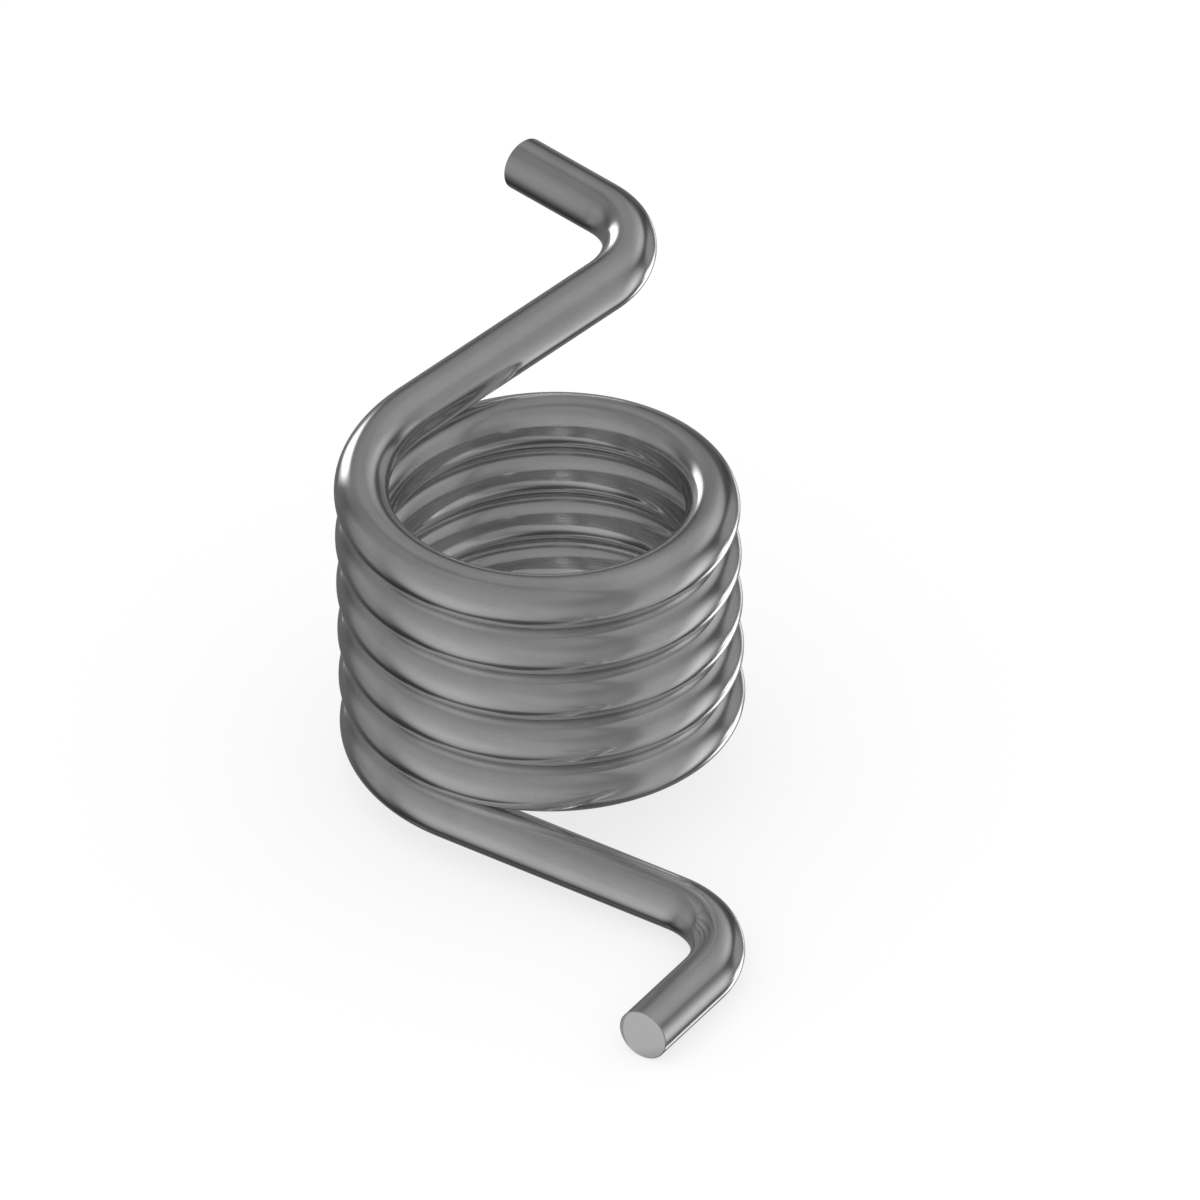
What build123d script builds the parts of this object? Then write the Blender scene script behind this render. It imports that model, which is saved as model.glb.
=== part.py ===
from build123d import *

import os
from math import asin, degrees, pi, radians, tan

# A torsion spring, wound left-handed from one length of round wire.
# The close-wound body has a straight leg at each end, and each leg ends in a tip that is bent
# outwards, square to it. The spring is the same either way up: a half turn about X swaps its ends.
# The origin is the middle of the coil, Z runs along the coil's axis, and X runs midway between
# the two legs. All lengths are in millimetres and all angles in degrees.

# The wire
wire_diameter = 3.0
end_edge_break = 0.05

# The coil
mean_coil_diameter = 19.2
coil_gap = 0.065
whole_turns = 5
leg_angle = 77.6

# The legs and their bent tips
leg_length = 14.8
bend_inside_radius = 3.4
bend_angle = 90.0
tip_length = 6.2

# Worked out from the sizes above
wire_radius = wire_diameter / 2
mean_coil_radius = mean_coil_diameter / 2
bend_radius = bend_inside_radius + wire_radius

# The gap is measured square to the wire, so one turn advances by a little more than wire and gap.
# A leg angle of 180 would be whole turns exactly, and each degree less winds the coil on by one.
lead_angle = degrees(asin((wire_diameter + coil_gap) / (pi * mean_coil_diameter)))
coil_pitch = pi * mean_coil_diameter * tan(radians(lead_angle))
coil_turns = whole_turns + (180 - leg_angle) / 360
coil_rise = coil_pitch * coil_turns


def bent_leg(coil_end, leaving):
    """Centreline of one leg, which runs on in line with the wire where the coil ends.

    It lies in the plane of the leaving direction and the radius of the coil there, and its
    bend turns the tip away from the coil's axis.
    """
    outward = Vector(coil_end.X, coil_end.Y, 0)
    leg_plane = Plane(origin=coil_end, x_dir=leaving, z_dir=leaving.cross(outward))
    with BuildLine(leg_plane) as leg_line:
        shank = Line((0, 0), (leg_length, 0))
        bend = JernArc(start=shank @ 1, tangent=shank % 1, radius=bend_radius, arc_size=bend_angle)
        PolarLine(bend @ 1, tip_length, direction=bend % 1)
    return leg_line.line


# The centreline of the coil climbs clockwise, and is turned so that its middle lies on X.
coil_line = Rot(Z=180 * coil_turns) * Helix(
    pitch=coil_pitch,
    height=coil_rise,
    radius=mean_coil_radius,
    center=(0, 0, -coil_rise / 2),
    lefthand=True,
)
lower_leg = bent_leg(coil_line @ 0, -(coil_line % 0))
upper_leg = bent_leg(coil_line @ 1, coil_line % 1)
wire_line = Wire([*lower_leg.edges(), *coil_line.edges(), *upper_leg.edges()])

# The wire follows that line from tip to tip, and its two square-cut ends have their edges broken.
with BuildPart() as torsion_spring:
    with BuildSketch(Plane(origin=wire_line @ 0, z_dir=wire_line % 0)):
        Circle(wire_radius)
    sweep(path=wire_line, is_frenet=True)
    cut_ends = torsion_spring.faces().filter_by(GeomType.PLANE)
    chamfer(cut_ends.edges(), length=end_edge_break)

torsion_spring.part.label = "torsion_spring"
os.makedirs("parts", exist_ok=True)
export_step(torsion_spring.part, "parts/torsion_spring.step")
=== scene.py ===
import logging
import math
from dataclasses import dataclass, field
from enum import Enum

import bmesh
import bpy
from mathutils import Matrix, Vector


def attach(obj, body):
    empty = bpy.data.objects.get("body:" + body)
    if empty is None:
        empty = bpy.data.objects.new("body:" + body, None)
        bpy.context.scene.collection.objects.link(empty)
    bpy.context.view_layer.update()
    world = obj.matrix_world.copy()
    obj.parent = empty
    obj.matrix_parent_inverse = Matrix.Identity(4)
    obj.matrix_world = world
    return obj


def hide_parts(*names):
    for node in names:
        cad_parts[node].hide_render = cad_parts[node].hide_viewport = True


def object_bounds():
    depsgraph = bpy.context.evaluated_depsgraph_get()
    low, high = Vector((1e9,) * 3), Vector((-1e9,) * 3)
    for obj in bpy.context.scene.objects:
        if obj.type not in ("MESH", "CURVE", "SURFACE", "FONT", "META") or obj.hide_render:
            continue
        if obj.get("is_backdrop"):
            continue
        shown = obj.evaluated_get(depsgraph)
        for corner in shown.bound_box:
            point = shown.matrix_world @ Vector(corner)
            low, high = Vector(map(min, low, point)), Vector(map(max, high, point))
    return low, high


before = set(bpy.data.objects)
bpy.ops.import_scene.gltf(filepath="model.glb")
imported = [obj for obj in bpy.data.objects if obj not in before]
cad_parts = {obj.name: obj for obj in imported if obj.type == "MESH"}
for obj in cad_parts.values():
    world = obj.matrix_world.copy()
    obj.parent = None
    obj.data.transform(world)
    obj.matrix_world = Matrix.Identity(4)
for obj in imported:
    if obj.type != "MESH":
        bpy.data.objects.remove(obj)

log = logging.getLogger("torsion_spring")

Socket = bpy.types.NodeSocket
Value = float | Socket

WHITE = (1, 1, 1, 1)

# Nearly all of a noise texture's factor lies between these two.
NOISE_LOW, NOISE_HIGH = 0.3, 0.7

# A ray is mirrored up to this many times in the grooves between turns.
MIRROR_BOUNCES = 12


class SocketKind(Enum):
    """Kinds of named input that a geometry tree takes."""

    LENGTH = "NodeSocketFloat"
    COUNT = "NodeSocketInt"
    MATERIAL = "NodeSocketMaterial"


class PanelShape(Enum):
    """Outline of a light or dark panel on the tent's wall, as the power of its rounded square."""

    ROUND = 2.0
    RECTANGLE = 5.0


class NodeBench:
    """A node tree with short calls for the few kinds of node that this scene uses."""

    def __init__(self, tree: bpy.types.NodeTree) -> None:
        """Takes the tree that the nodes go into.

        Args:
            tree: A geometry, material or world node tree.
        """
        self.tree = tree

    def add(self, kind: str, **settings: object) -> bpy.types.Node:
        """Adds one node.

        Args:
            kind: The node's type name.
            settings: The node's own properties, by name.

        Returns:
            The new node.
        """
        node = self.tree.nodes.new(kind)
        for name, value in settings.items():
            setattr(node, name, value)
        return node

    def feed(self, socket: Socket, value: object) -> None:
        """Links a socket to another node's output, or sets its own value.

        Args:
            socket: The socket that is fed.
            value: An output socket, or the value itself.
        """
        if isinstance(value, Socket):
            self.tree.links.new(value, socket)
        else:
            socket.default_value = value

    def math(self, operation: str, *values: Value) -> Socket:
        """Adds a Math node.

        Args:
            operation: The operation's name.
            values: Numbers or sockets, one for each operand.

        Returns:
            The result's socket.
        """
        node = self.add("ShaderNodeMath", operation=operation)
        for socket, value in zip(node.inputs, values):
            self.feed(socket, value)
        return node.outputs[0]

    def vector_math(self, operation: str, *values: object, scale: Value | None = None) -> Socket:
        """Adds a Vector Math node.

        Args:
            operation: The operation's name.
            values: Vectors or sockets, one for each operand.
            scale: The number that SCALE multiplies by.

        Returns:
            The vector result, or the number for DISTANCE and DOT_PRODUCT.
        """
        node = self.add("ShaderNodeVectorMath", operation=operation)
        for socket, value in zip(node.inputs, values):
            self.feed(socket, value)
        if scale is not None:
            self.feed(node.inputs["Scale"], scale)
        gives_number = operation in {"DISTANCE", "DOT_PRODUCT"}
        return node.outputs["Value" if gives_number else "Vector"]

    def vector(self, x: Value, y: Value, z: Value) -> Socket:
        """Adds a Combine XYZ node.

        Args:
            x: The first part.
            y: The second part.
            z: The third part.

        Returns:
            The vector.
        """
        node = self.add("ShaderNodeCombineXYZ")
        for socket, value in zip(node.inputs, (x, y, z)):
            self.feed(socket, value)
        return node.outputs[0]

    def mixed(self, factor: Value, low: Value, high: Value) -> Socket:
        """Adds a Mix node for numbers.

        Args:
            factor: Share of high in the mix.
            low: The result where factor is 0.
            high: The result where factor is 1.

        Returns:
            The mixed number.
        """
        node = self.add("ShaderNodeMix", data_type="FLOAT")
        for name, value in (("Factor_Float", factor), ("A_Float", low), ("B_Float", high)):
            self.feed(next(s for s in node.inputs if s.identifier == name), value)
        return node.outputs[0]

    def ramp(self, value: Value, start: float, end: float, low: float, high: float) -> Socket:
        """Adds a Map Range node that eases in and out and stops at its ends.

        Args:
            value: The number that is mapped.
            start: Value at which the result is low.
            end: Value at which the result is high.
            low: Result at the start and before it.
            high: Result at the end and beyond it.

        Returns:
            The mapped number.
        """
        node = self.add("ShaderNodeMapRange", interpolation_type="SMOOTHSTEP")
        for socket, number in zip(node.inputs, (value, start, end, low, high)):
            self.feed(socket, number)
        return node.outputs[0]

    def spread(self, noise: Socket, middle: float, spread: float) -> Socket:
        """Turns a noise into a number that lies within spread of middle."""
        return self.ramp(noise, NOISE_LOW, NOISE_HIGH, middle - spread, middle + spread)

    def noise(self, place: Socket, scale: float, detail: float) -> Socket:
        """Adds a Noise Texture.

        Args:
            place: Where the noise is read.
            scale: Patches per unit of place.
            detail: Number of finer layers on it.

        Returns:
            The noise's factor.
        """
        node = self.add("ShaderNodeTexNoise")
        self.feed(node.inputs["Vector"], place)
        self.feed(node.inputs["Scale"], scale)
        self.feed(node.inputs["Detail"], detail)
        return node.outputs["Fac"]

    def attribute(self, name: str) -> bpy.types.Node:
        """Adds a node that reads a named attribute of the shaded surface."""
        return self.add("ShaderNodeAttribute", attribute_name=name)

    def stored(self, curve: Socket, kind: str, name: str, value: Socket) -> Socket:
        """Adds a node that stores a named attribute on each point of a curve.

        Args:
            curve: The curve.
            kind: The attribute's data type.
            name: The attribute's name.
            value: What is stored at each point.

        Returns:
            The curve with the attribute.
        """
        node = self.add("GeometryNodeStoreNamedAttribute", data_type=kind, domain="POINT")
        for socket_name, fed in (("Geometry", curve), ("Name", name), ("Value", value)):
            self.feed(node.inputs[socket_name], fed)
        return node.outputs["Geometry"]


@dataclass(frozen=True)
class DrawnSteel:
    """Finish of bright drawn spring wire.

    It mirrors its surroundings sharply through a faint satin haze. Faint die lines run along it, it
    is slightly uneven, and its two sheared ends are duller. Lengths are in metres, a scale is a
    number of patches per metre, and layers count the finer ones on a noise. Each sheared face has
    painted shade: a dark crescent at one rim and a soft darkening towards one side. A side is an
    angle in degrees round the wire's section. The centre and the edges of these painted shades,
    where each starts and where it is full, are in wire radii.
    """

    grey: float = 0.78
    grey_spread: float = 0.05
    grain_spread: float = 0.02
    roughness: float = 0.09
    roughness_spread: float = 0.04
    haze_share: float = 0.27
    haze_roughness: float = 0.29
    die_line_depth: float = 5e-6
    die_lines_across: float = 2600.0
    die_lines_along: float = 45.0
    die_line_layers: float = 3.0
    cloud_scale: float = 420.0
    cloud_layers: float = 2.0
    grain_scale: float = 9000.0
    grain_layers: float = 1.0
    sheared_depth: float = 2e-6
    sheared_grey: float = 0.81
    sheared_metal: float = 0.5
    sheared_roughness: float = 0.34
    sheared_roughness_spread: float = 0.1
    shear_mark_scales: tuple[float, float, float] = (9000.0, 1300.0, 1.0)
    shear_mark_layers: float = 2.0
    shear_mark_share: float = 0.3
    # Painted shade on each cut face: a dark crescent along one rim.
    rim_shade_side: float = 180.0
    rim_shade_centre: float = -0.5
    rim_shade_edge: tuple[float, float] = (1.34, 1.39)
    painted_rim_shade: float = 0.36
    # Painted shade on each cut face: a soft darkening towards one side.
    far_side: float = 62.0
    far_edge: tuple[float, float] = (0.45, 1.05)
    painted_far_shade: float = 0.24
    along_name: str = "along_wire"
    section_name: str = "wire_section"

    def material(self, wire_length: float, wire_radius: float) -> bpy.types.Material:
        """Makes the finish.

        Args:
            wire_length: Length of the wire in metres, from one sheared face to the other.
            wire_radius: Radius of the wire in metres.

        Returns:
            A metal whose colour, roughness and relief follow the wire's own length and section.
        """
        steel = bpy.data.materials.new("drawn_spring_steel")
        steel.use_nodes = True
        bench = NodeBench(steel.node_tree)
        sharp = steel.node_tree.nodes["Principled BSDF"]
        haze = bench.add("ShaderNodeBsdfPrincipled")
        along = bench.attribute(self.along_name).outputs["Fac"]
        section = bench.attribute(self.section_name).outputs["Vector"]
        parts = bench.add("ShaderNodeSeparateXYZ")
        bench.feed(parts.inputs[0], section)
        place = bench.vector(along, parts.outputs["X"], parts.outputs["Y"])
        line_scales = (self.die_lines_along, self.die_lines_across, self.die_lines_across)
        line_place = bench.vector_math("MULTIPLY", place, line_scales)
        die_lines = bench.noise(line_place, 1.0, self.die_line_layers)
        mark_place = bench.vector_math("MULTIPLY", section, self.shear_mark_scales)
        shear_marks = bench.noise(mark_place, 1.0, self.shear_mark_layers)
        clouds = bench.noise(place, self.cloud_scale, self.cloud_layers)
        from_middle = bench.math("ABSOLUTE", bench.math("SUBTRACT", along, wire_length / 2))
        sheared = bench.math("GREATER_THAN", from_middle, wire_length / 2 - self.sheared_depth)
        drawn_tone = self.drawn_tone(bench, place, die_lines, clouds)
        grey = bench.mixed(sheared, drawn_tone, self.cut_tone(bench, section, wire_radius))
        colour = bench.add("ShaderNodeCombineColor")
        for channel in colour.inputs:
            bench.feed(channel, grey)
        drawn = bench.spread(clouds, self.roughness, self.roughness_spread / 2)
        cut = bench.spread(shear_marks, self.sheared_roughness, self.sheared_roughness_spread / 2)
        bench.feed(sharp.inputs["Roughness"], bench.mixed(sheared, drawn, cut))
        haze.inputs["Roughness"].default_value = self.haze_roughness
        relief = bench.add("ShaderNodeBump")
        bench.feed(relief.inputs["Strength"], 1.0)
        bench.feed(relief.inputs["Distance"], self.die_line_depth)
        cut_relief = bench.math("MULTIPLY", shear_marks, self.shear_mark_share)
        bench.feed(relief.inputs["Height"], bench.mixed(sheared, die_lines, cut_relief))
        for metal in (sharp, haze):
            bench.feed(metal.inputs["Metallic"], bench.mixed(sheared, 1.0, self.sheared_metal))
            bench.feed(metal.inputs["Base Color"], colour.outputs[0])
            bench.feed(metal.inputs["Normal"], relief.outputs[0])
        satin = bench.add("ShaderNodeMixShader")
        mixture = (self.haze_share, sharp.outputs[0], haze.outputs[0])
        for socket, value in zip(satin.inputs, mixture):
            bench.feed(socket, value)
        bench.feed(steel.node_tree.nodes["Material Output"].inputs["Surface"], satin.outputs[0])
        return steel

    def drawn_tone(
        self, bench: NodeBench, place: Socket, die_lines: Socket, clouds: Socket
    ) -> Socket:
        """Tone of the drawn surface, with its die lines, clouds and fine grain.

        Args:
            bench: The finish's node tree.
            place: Distance along the wire and place in its section.
            die_lines: Noise drawn out along the wire.
            clouds: Noise of broad patches.

        Returns:
            The grey of the drawn surface.
        """
        half = self.grey_spread / 2
        lines = bench.spread(die_lines, self.grey - half, half)
        lined = bench.math("ADD", lines, bench.spread(clouds, half, half))
        grain = bench.noise(place, self.grain_scale, self.grain_layers)
        return bench.math("ADD", lined, bench.spread(grain, 0.0, self.grain_spread))

    def cut_tone(self, bench: NodeBench, section: Socket, wire_radius: float) -> Socket:
        """Tone of a sheared face: even, but for painted shade at one rim and towards one side.

        Args:
            bench: The finish's node tree.
            section: Place in the wire's section.
            wire_radius: Radius of the wire in metres.

        Returns:
            The grey of the cut face.
        """
        def side(angle: float, reach: float) -> tuple[float, float, float]:
            """A place in the section at an angle in degrees, reach wire radii from its middle."""
            turn = math.radians(angle)
            return (reach * math.cos(turn), reach * math.sin(turn), 0.0)

        on_face = bench.vector_math("SCALE", section, scale=1 / wire_radius)
        # Painted shade: a dark crescent along one rim of the cut face.
        from_rim_shade = bench.vector_math("DISTANCE", on_face, side(self.rim_shade_side, self.rim_shade_centre))
        rim_shade = bench.ramp(from_rim_shade, *self.rim_shade_edge, 0.0, self.painted_rim_shade)
        # Painted shade: the cut face darkens softly towards one side.
        towards = bench.vector_math("DOT_PRODUCT", on_face, side(self.far_side, 1.0))
        shade = bench.ramp(towards, *self.far_edge, 0.0, self.painted_far_shade)
        lit = bench.math("SUBTRACT", 1.0, bench.math("MAXIMUM", rim_shade, shade))
        return bench.math("MULTIPLY", lit, self.sheared_grey)


@dataclass
class SpringWire:
    """The whole spring: one length of round wire, wound left-handed, with a bent leg at each end.

    Lengths are in metres and angles in degrees. The middle of the coil is the origin, Z its axis,
    and a half turn about X swaps the two ends. The wire is swept from stations along it, each with
    a ring of facets, and an edge sharper than the crease angle shows.
    """

    wire_radius: float = 0.0015
    coil_radius: float = 0.0096
    gap: float = 0.000065
    whole_turns: int = 5
    leg_angle: float = 77.6
    leg_length: float = 0.0148
    bend_inside_radius: float = 0.0034
    bend_angle: float = 90.0
    tip_length: float = 0.0062
    edge_break: float = 0.00005
    stations: int = 1200
    facets: int = 80
    crease_angle: float = 30.0
    finish: DrawnSteel = field(default_factory=DrawnSteel)

    @property
    def turns(self) -> float:
        """Turns of the coil between its two legs."""
        return self.whole_turns + (180 - self.leg_angle) / 360

    @property
    def pitch(self) -> float:
        """Rise of the coil in one turn, with the gap measured square to the wire."""
        around = 2 * math.pi * self.coil_radius
        return around * math.tan(math.asin((2 * self.wire_radius + self.gap) / around))

    @property
    def bend_radius(self) -> float:
        """Radius of a bend at the middle of the wire."""
        return self.bend_inside_radius + self.wire_radius

    @property
    def wire_length(self) -> float:
        """Length of the wire from one sheared face to the other."""
        coil = self.turns * math.hypot(2 * math.pi * self.coil_radius, self.pitch)
        return coil + 2 * (
            self.leg_length + self.bend_radius * math.radians(self.bend_angle) + self.tip_length
        )

    def inputs(self, steel: bpy.types.Material) -> dict[str, tuple[SocketKind, object]]:
        """Names, kinds and values of the geometry tree's inputs.

        Args:
            steel: The material of the wire.

        Returns:
            Each input's kind and value, by its name.
        """
        return {
            "Wire Radius": (SocketKind.LENGTH, self.wire_radius),
            "Coil Radius": (SocketKind.LENGTH, self.coil_radius),
            "Coil Pitch": (SocketKind.LENGTH, self.pitch),
            "Coil Turns": (SocketKind.LENGTH, self.turns),
            "Leg Length": (SocketKind.LENGTH, self.leg_length),
            "Bend Radius": (SocketKind.LENGTH, self.bend_radius),
            "Bend Angle": (SocketKind.LENGTH, math.radians(self.bend_angle)),
            "Tip Length": (SocketKind.LENGTH, self.tip_length),
            "Edge Break": (SocketKind.LENGTH, self.edge_break),
            "Stations": (SocketKind.COUNT, self.stations),
            "Facets": (SocketKind.COUNT, self.facets),
            "Steel": (SocketKind.MATERIAL, steel),
        }

    def station_distance(
        self, bench: NodeBench, given: dict[str, Socket], length: Socket
    ) -> tuple[Socket, Socket]:
        """Distance of each station along the wire, and the scale of the wire's section there.

        The first and last two stations stand an edge break apart, and the others are evenly spaced.

        Args:
            bench: The geometry tree.
            given: The tree's inputs by name.
            length: Length of the wire.

        Returns:
            The distance and the scale.
        """
        index = bench.add("GeometryNodeInputIndex").outputs[0]
        broken = given["Edge Break"]
        between = bench.math("SUBTRACT", length, bench.math("MULTIPLY", broken, 2.0))
        step = bench.math("DIVIDE", between, bench.math("SUBTRACT", given["Stations"], 3.0))
        even = bench.math("MULTIPLY_ADD", bench.math("SUBTRACT", index, 1.0), step, broken)
        along = bench.math("MINIMUM", bench.math("MAXIMUM", even, 0.0), length)
        # The first and last indices are told from their neighbours halfway between the two.
        last = bench.math("GREATER_THAN", index, bench.math("SUBTRACT", given["Stations"], 1.5))
        at_end = bench.math("ADD", bench.math("LESS_THAN", index, 0.5), last)
        cut_back = bench.math("DIVIDE", broken, given["Wire Radius"])
        return along, bench.math("SUBTRACT", 1.0, bench.math("MULTIPLY", at_end, cut_back))

    def centreline(
        self,
        bench: NodeBench,
        given: dict[str, Socket],
        along: Socket,
        length: Socket,
        half_coil: Socket,
    ) -> Socket:
        """Place of the wire's centre at a distance along it.

        The upper half is the coil from its middle, the leg in line with the coil's end, the bend
        and the tip. The lower half is the upper one turned half round about X.

        Args:
            bench: The geometry tree.
            given: The tree's inputs by name.
            along: Distance from the lower sheared face.
            length: Length of the wire.
            half_coil: Length of wire in half of the coil.

        Returns:
            The place as a vector.
        """
        from_middle = bench.math("SUBTRACT", along, bench.math("MULTIPLY", length, 0.5))
        side = bench.math("SIGN", from_middle)
        away = bench.math("ABSOLUTE", from_middle)
        end_turn = bench.math("MULTIPLY", given["Coil Turns"], math.pi)
        in_coil = bench.math("MINIMUM", bench.math("DIVIDE", away, half_coil), 1.0)
        turn = bench.math("MULTIPLY", in_coil, end_turn)
        rise = bench.math("DIVIDE", given["Coil Pitch"], 2 * math.pi)
        radius = given["Coil Radius"]
        minus = bench.math("MULTIPLY", radius, -1.0)
        coil = bench.vector(
            bench.math("MULTIPLY", radius, bench.math("COSINE", turn)),
            bench.math("MULTIPLY", minus, bench.math("SINE", turn)),
            bench.math("MULTIPLY", rise, turn),
        )
        end_cosine = bench.math("COSINE", end_turn)
        end_sine = bench.math("SINE", end_turn)
        outward = bench.vector(end_cosine, bench.math("MULTIPLY", end_sine, -1.0), 0.0)
        coil_end = bench.vector(
            bench.math("MULTIPLY", minus, end_sine),
            bench.math("MULTIPLY", minus, end_cosine),
            rise,
        )
        leaving = bench.vector_math("NORMALIZE", coil_end)
        past_coil = bench.math("MAXIMUM", bench.math("SUBTRACT", away, half_coil), 0.0)
        leg_length, bend, full = given["Leg Length"], given["Bend Radius"], given["Bend Angle"]
        past_leg = bench.math("DIVIDE", bench.math("SUBTRACT", past_coil, leg_length), bend)
        bent = bench.math("MINIMUM", bench.math("MAXIMUM", past_leg, 0.0), full)
        tip_start = bench.math("ADD", leg_length, bench.math("MULTIPLY", bend, full))
        in_tip = bench.math("MAXIMUM", bench.math("SUBTRACT", past_coil, tip_start), 0.0)
        leg_on = bench.math("MINIMUM", past_coil, leg_length)
        bend_on = bench.math("MULTIPLY", bend, bench.math("SINE", bent))
        tip_on = bench.math("MULTIPLY", in_tip, bench.math("COSINE", full))
        onward = bench.math("ADD", leg_on, bench.math("ADD", bend_on, tip_on))
        turned = bench.math("SUBTRACT", 1.0, bench.math("COSINE", bent))
        bend_out = bench.math("MULTIPLY", bend, turned)
        tip_out = bench.math("MULTIPLY", in_tip, bench.math("SINE", full))
        sideways = bench.math("ADD", bend_out, tip_out)
        leg = bench.vector_math(
            "ADD",
            bench.vector_math("SCALE", leaving, scale=onward),
            bench.vector_math("SCALE", outward, scale=sideways),
        )
        upper = bench.vector_math("ADD", coil, leg)
        return bench.vector_math("MULTIPLY", upper, bench.vector(1.0, side, side))

    def tree(self, steel: bpy.types.Material) -> tuple[bpy.types.NodeTree, dict[str, str]]:
        """Builds the geometry tree that sweeps the wire's section along its centreline.

        Args:
            steel: The material of the wire.

        Returns:
            The tree, and the identifier of each of its inputs by name.
        """
        tree = bpy.data.node_groups.new("wound_wire", "GeometryNodeTree")
        tree.interface.new_socket("Wire", in_out="OUTPUT", socket_type="NodeSocketGeometry")
        identifiers = {
            name: tree.interface.new_socket(name, in_out="INPUT", socket_type=kind.value).identifier
            for name, (kind, _) in self.inputs(steel).items()
        }
        bench = NodeBench(tree)
        given = {s.name: s for s in bench.add("NodeGroupInput").outputs if s.name}
        around = bench.math("POWER", bench.math("MULTIPLY", given["Coil Radius"], 2 * math.pi), 2.0)
        climbed = bench.math("POWER", given["Coil Pitch"], 2.0)
        turn_length = bench.math("SQRT", bench.math("ADD", around, climbed))
        coil_length = bench.math("MULTIPLY", turn_length, given["Coil Turns"])
        half_coil = bench.math("MULTIPLY", coil_length, 0.5)
        to_bend = bench.math("ADD", half_coil, given["Leg Length"])
        bent_length = bench.math("MULTIPLY", given["Bend Radius"], given["Bend Angle"])
        half = bench.math("ADD", to_bend, bench.math("ADD", bent_length, given["Tip Length"]))
        length = bench.math("MULTIPLY", half, 2.0)
        along, scale = self.station_distance(bench, given, length)
        line = bench.add("GeometryNodeCurvePrimitiveLine")
        stations = bench.add("GeometryNodeResampleCurve", mode="COUNT")
        bench.feed(stations.inputs["Curve"], line.outputs["Curve"])
        bench.feed(stations.inputs["Count"], given["Stations"])
        measured = bench.stored(stations.outputs["Curve"], "FLOAT", self.finish.along_name, along)
        scale_name = "section_scale"
        placed = bench.add("GeometryNodeSetPosition")
        bench.feed(placed.inputs["Geometry"], bench.stored(measured, "FLOAT", scale_name, scale))
        centre = self.centreline(bench, given, along, length, half_coil)
        bench.feed(placed.inputs["Position"], centre)
        circle = bench.add("GeometryNodeCurvePrimitiveCircle", mode="RADIUS")
        bench.feed(circle.inputs["Resolution"], given["Facets"])
        bench.feed(circle.inputs["Radius"], given["Wire Radius"])
        place = bench.add("GeometryNodeInputPosition").outputs[0]
        section = bench.stored(
            circle.outputs["Curve"], "FLOAT_VECTOR", self.finish.section_name, place
        )
        swept = bench.add("GeometryNodeCurveToMesh")
        bench.feed(swept.inputs["Curve"], placed.outputs["Geometry"])
        bench.feed(swept.inputs["Profile Curve"], section)
        kept = bench.add("GeometryNodeInputNamedAttribute", data_type="FLOAT")
        bench.feed(kept.inputs["Name"], scale_name)
        bench.feed(swept.inputs["Scale"], kept.outputs["Attribute"])
        bench.feed(swept.inputs["Fill Caps"], True)
        real = bench.add("GeometryNodeRealizeInstances")
        bench.feed(real.inputs["Geometry"], swept.outputs["Mesh"])
        dressed = bench.add("GeometryNodeSetMaterial")
        bench.feed(dressed.inputs["Geometry"], real.outputs["Geometry"])
        bench.feed(dressed.inputs["Material"], given["Steel"])
        bench.feed(bench.add("NodeGroupOutput").inputs["Wire"], dressed.outputs["Geometry"])
        return tree, identifiers

    def build(self) -> bpy.types.Object:
        """Makes the wire as a plain mesh in place of the spring's solid.

        Returns:
            The finished piece.
        """
        steel = self.finish.material(self.wire_length, self.wire_radius)
        tree, identifiers = self.tree(steel)
        maker = bpy.data.objects.new("wire_maker", bpy.data.meshes.new("wire_maker"))
        bpy.context.scene.collection.objects.link(maker)
        modifier = maker.modifiers.new("wound_wire", "NODES")
        modifier.node_group = tree
        for input_name, (_, value) in self.inputs(steel).items():
            modifier[identifiers[input_name]] = value
        bpy.context.view_layer.update()
        evaluated = maker.evaluated_get(bpy.context.evaluated_depsgraph_get())
        mesh = bpy.data.meshes.new_from_object(evaluated)
        maker.modifiers.remove(modifier)
        bpy.data.objects.remove(maker)
        name = "torsion_spring_wire"
        mesh.name = name
        mesh.shade_smooth()
        mesh.set_sharp_from_angle(angle=math.radians(self.crease_angle))
        wire = bpy.data.objects.new(name, mesh)
        bpy.context.scene.collection.objects.link(wire)
        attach(wire, "root")
        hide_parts("torsion_spring")
        return wire


@dataclass(frozen=True)
class Panel:
    """A soft-edged light or dark panel on the tent's wall.

    Its place and size are in degrees: azimuth to the right of straight behind the spring as the
    camera sees it, and elevation above the horizon. A half width over 180 reaches all the way
    round, and a middle below -90 leaves only the panel's upper part. Softness is the share of its
    half size over which its edge fades, inwards and outwards, and a brightness of 1 is white.
    """

    name: str
    azimuth: float
    elevation: float
    half_width: float
    half_height: float
    softness: float
    brightness: float
    shape: PanelShape = PanelShape.ROUND


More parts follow.
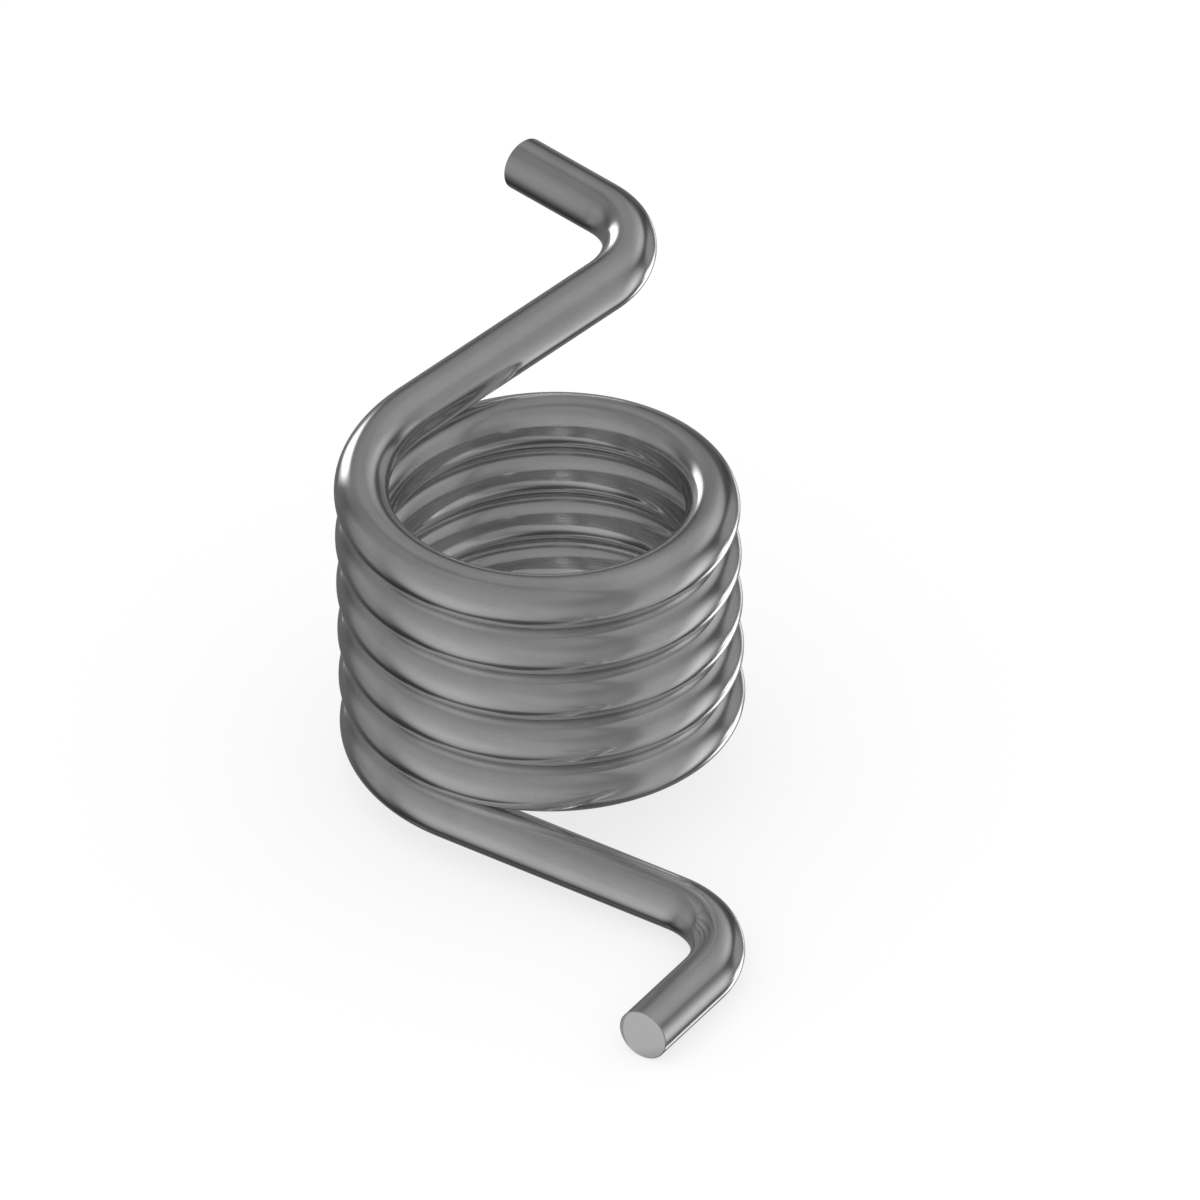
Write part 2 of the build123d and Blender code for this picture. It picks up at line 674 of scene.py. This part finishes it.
@dataclass
class LightTent:
    """The grey tent with lighter and darker panels that the spring's metal mirrors.

    Only mirrored rays meet it, so it lights neither the floor nor anything else that scatters
    light. The white world outside it does that. Heading is the camera's, in degrees, and radius is
    in metres.
    """

    heading: float
    radius: float = 1.5
    subdivisions: int = 5
    wall: float = 0.145
    panels: tuple[Panel, ...] = (
        Panel("zenith", 11.9, 58, 398.8, 28.9, 0.55, 0.27, PanelShape.RECTANGLE),
        Panel("left_wall_light", -138.6, -13.2, 67, 59.6, 0.42, 0.34),
        Panel("right_wall_light", 110, -41, 27.4, 65.8, 0.95, 0.4),
        Panel("front_right_shade", 133.4, 17, 6.3, 68.1, 0.95, 0.19),
        Panel("left_shade", -43.9, -10.7, 14, 90, 0.95, 0.13, PanelShape.RECTANGLE),
        Panel("low_left_shade", -71.5, -71.5, 34.5, 73.1, 0.55, 0.03),
        Panel("low_left_light", -76.7, -93.2, 37.1, 28.2, 0.19, 1.82),
        Panel("low_front_shade", 172.6, -87.4, 140.2, 24.6, 0.74, 0.04),
        Panel("upper_right_light", 44.3, 29.9, 23.3, 9.2, 0.95, 0.53),
        Panel("right_band_shade", 8.3, 5.5, 69.3, 13, 0.36, 0.06, PanelShape.RECTANGLE),
        Panel("right_disc", 49.6, -4.9, 14.7, 15.9, 0.38, 0.31),
        Panel("right_spot_shade", 24.5, -0.2, 5.3, 6.3, 0.36, 0),
        Panel("low_right_shade", 72.4, -49, 20.7, 12.4, 0.24, 0.04),
        Panel("right_tall_light", 83.5, -27.5, 9.9, 26.1, 0.95, 0.76),
        Panel("upper_right_veil", 64.9, 53.6, 46.6, 15.4, 0.44, 0.34),
        Panel("left_strip", -75, -2.8, 15.9, 32, 0.5, 0.3),
        Panel("left_wall_glow", -129.9, -25.2, 24.7, 24.8, 0.95, 0.48),
        Panel("upper_left_glow", -64, 50.6, 26.6, 16.1, 0.56, 0.22),
        Panel("low_left_ridge", -56.1, -58.7, 10.1, 3.3, 0.34, 0.16),
        Panel("low_right_ridge", 138.3, -65, 30.3, 5.4, 0.82, 0.79),
        Panel("back_low_light", -0.9, -19, 13, 27.8, 0.22, 0.49),
        Panel("front_low_shade", -164.9, -67.9, 112.3, 7.5, 0.95, 0.06),
        Panel("low_back_shade", -19.7, -14.8, 45.7, 21.4, 0.95, 0.15),
        Panel("back_rim_light", 22.8, -26.2, 7, 6.2, 0.4, 1),
        Panel("back_left_window", -29.5, 9.5, 9.3, 13.4, 0.58, 2.32),
        Panel("back_left_window_foot", -36, -4.5, 3, 4, 0.95, 0.7),
        Panel("back_left_window_shade", -19.5, -4.5, 4, 7.5, 0.95, 0.13),
        Panel("low_right_window", 39.9, -38.1, 8.8, 9.6, 0.52, 2.2, PanelShape.RECTANGLE),
        Panel("low_right_window_corner", 55.3, -30.7, 3.5, 4.2, 0.95, 1.8),
    )

    def wall_paint(self) -> bpy.types.Material:
        """Makes the glowing wall, as the plain wall with each panel laid over it in turn.

        Returns:
            A material that gives off light and reads Object coordinates.
        """
        paint = bpy.data.materials.new("tent_wall")
        paint.use_nodes = True
        paint.cycles.emission_sampling = "NONE"
        paint.node_tree.nodes.clear()
        bench = NodeBench(paint.node_tree)
        place = bench.add("ShaderNodeTexCoord").outputs["Object"]
        split = bench.add("ShaderNodeSeparateXYZ")
        bench.feed(split.inputs[0], bench.vector_math("NORMALIZE", place))
        x, y, z = (split.outputs[axis] for axis in "XYZ")
        azimuth = bench.math("DEGREES", bench.math("ARCTAN2", x, y))
        elevation = bench.math("DEGREES", bench.math("ARCSINE", z))
        light: Value = self.wall
        for panel in self.panels:
            light = self.with_panel(bench, panel, azimuth, elevation, light)
        glow = bench.add("ShaderNodeEmission")
        bench.feed(glow.inputs["Strength"], light)
        bench.feed(bench.add("ShaderNodeOutputMaterial").inputs["Surface"], glow.outputs[0])
        return paint

    def with_panel(
        self, bench: NodeBench, panel: Panel, azimuth: Socket, elevation: Socket, light: Value
    ) -> Socket:
        """Lays one panel over the wall.

        Args:
            bench: The wall's node tree.
            panel: The panel.
            azimuth: Azimuth of the shaded place, in degrees from the tent's +Y.
            elevation: Elevation of the shaded place, in degrees.
            light: Brightness without the panel.

        Returns:
            Brightness with the panel.
        """
        power = panel.shape.value
        off_middle = bench.math("SUBTRACT", azimuth, panel.azimuth + self.heading)
        across = bench.math("ABSOLUTE", bench.math("WRAP", off_middle, 180.0, -180.0))
        wide = bench.math("POWER", bench.math("DIVIDE", across, panel.half_width), power)
        up = bench.math("ABSOLUTE", bench.math("SUBTRACT", elevation, panel.elevation))
        tall = bench.math("POWER", bench.math("DIVIDE", up, panel.half_height), power)
        reach = bench.math("POWER", bench.math("ADD", wide, tall), 1 / power)
        inside = bench.ramp(reach, 1 - panel.softness, 1 + panel.softness, 1.0, 0.0)
        return bench.mixed(inside, light, panel.brightness)

    def build(self) -> bpy.types.Object:
        """Makes the tent, which the camera looks through.

        Returns:
            The tent's wall.
        """
        mesh = bpy.data.meshes.new("light_tent")
        shell = bmesh.new()
        bmesh.ops.create_icosphere(shell, subdivisions=self.subdivisions, radius=self.radius)
        shell.to_mesh(mesh)
        shell.free()
        mesh.shade_smooth()
        mesh.materials.append(self.wall_paint())
        tent = bpy.data.objects.new("light_tent", mesh)
        bpy.context.scene.collection.objects.link(tent)
        tent.visible_camera = False
        tent.visible_diffuse = False
        tent.visible_shadow = False
        tent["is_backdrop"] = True
        return tent


@dataclass
class Floor:
    """A plain pale shooting table under the spring, with its sizes in metres.

    Colour is the grey that takes the spring's shadow, and lift is the glow that makes the table
    white where it is seen.
    """

    height: float
    half_side: float = 1.2
    colour: float = 0.30
    lift: float = 0.72

    def build(self) -> bpy.types.Object:
        """Makes the table, which shows white where the spring's soft shadow doesn't fall.

        Returns:
            The floor.
        """
        h, z = self.half_side, self.height
        mesh = bpy.data.meshes.new("floor")
        mesh.from_pydata([(-h, -h, z), (h, -h, z), (h, h, z), (-h, h, z)], [], [(0, 1, 2, 3)])
        paint = bpy.data.materials.new("pale_floor")
        paint.use_nodes = True
        paint.cycles.emission_sampling = "NONE"
        bench = NodeBench(paint.node_tree)
        matt = paint.node_tree.nodes["Principled BSDF"]
        matt.inputs["Base Color"].default_value = (self.colour, self.colour, self.colour, 1)
        matt.inputs["Roughness"].default_value = 1.0
        matt.inputs["Specular IOR Level"].default_value = 0.0
        ray = bench.add("ShaderNodeLightPath").outputs
        mirrored = bench.math("ADD", ray["Is Glossy Ray"], ray["Is Transmission Ray"])
        seen = bench.math("ADD", ray["Is Camera Ray"], mirrored)
        matt.inputs["Emission Color"].default_value = WHITE
        bench.feed(matt.inputs["Emission Strength"], bench.math("MULTIPLY", seen, self.lift))
        mesh.materials.append(paint)
        floor = bpy.data.objects.new("floor", mesh)
        bpy.context.scene.collection.objects.link(floor)
        floor.visible_glossy = False
        floor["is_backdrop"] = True
        return floor


@dataclass
class Camera:
    """The camera at the photograph's angle, which looks down on the spring without perspective.

    Angles are in degrees: heading is to the right of +Y, elevation is above the horizon, and roll
    lifts the camera's right side. Lengths are in metres, and the shifts put the middle of the view
    off the origin.
    """

    heading: float = 5.3411
    elevation: float = 35.5757
    roll: float = -1.4811
    view_width: float = 0.065558
    right_shift: float = 0.0032875
    down_shift: float = -0.0001458
    distance: float = 0.30
    nearest: float = 0.01
    farthest: float = 10.0

    def build(self) -> bpy.types.Object:
        """Makes the camera and gives it to the scene.

        Returns:
            The camera.
        """
        turn, dip, roll = (math.radians(x) for x in (self.heading, self.elevation, self.roll))
        forward = Vector((
            math.sin(turn) * math.cos(dip),
            math.cos(turn) * math.cos(dip),
            -math.sin(dip),
        ))
        level_right = Vector((math.cos(turn), -math.sin(turn), 0))
        level_down = Vector((
            -math.sin(turn) * math.sin(dip),
            -math.cos(turn) * math.sin(dip),
            -math.cos(dip),
        ))
        right = math.cos(roll) * level_right - math.sin(roll) * level_down
        down = math.sin(roll) * level_right + math.cos(roll) * level_down
        lens = bpy.data.cameras.new("camera")
        lens.type = "ORTHO"
        lens.ortho_scale = self.view_width
        lens.clip_start, lens.clip_end = self.nearest, self.farthest
        camera = bpy.data.objects.new("camera", lens)
        bpy.context.scene.collection.objects.link(camera)
        axes = Matrix((right, -down, -forward)).transposed().to_4x4()
        middle = self.right_shift * right + self.down_shift * down
        camera.matrix_world = Matrix.Translation(middle - self.distance * forward) @ axes
        bpy.context.scene.camera = camera
        return camera


def plain_world() -> bpy.types.World:
    """Makes the plain white surroundings outside the tent, and sets the plain view of colours.

    Returns:
        The white world.
    """
    world = bpy.data.worlds.new("plain_white")
    world.use_nodes = True
    background = world.node_tree.nodes["Background"]
    background.inputs["Color"].default_value = WHITE
    background.inputs["Strength"].default_value = 1.0
    bpy.context.scene.world = world
    bpy.context.scene.view_settings.view_transform = "Standard"
    bpy.context.scene.cycles.glossy_bounces = MIRROR_BOUNCES
    return world


def main() -> None:
    """Builds the spring, its camera, floor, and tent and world."""
    logging.basicConfig(level=logging.INFO, format="%(name)s: %(message)s")
    solid_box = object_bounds()
    wire = SpringWire().build()
    box = [tuple(corner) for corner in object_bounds()]
    log.info("%s: %d faces, box %s", wire.name, len(wire.data.polygons), box)
    camera = Camera()
    floor = Floor(height=solid_box[0].z)
    tent = LightTent(heading=camera.heading)
    for made in (camera.build(), floor.build(), tent.build(), plain_world()):
        log.info("%s is set up", made.name)


if __name__ == "__main__":
    main()
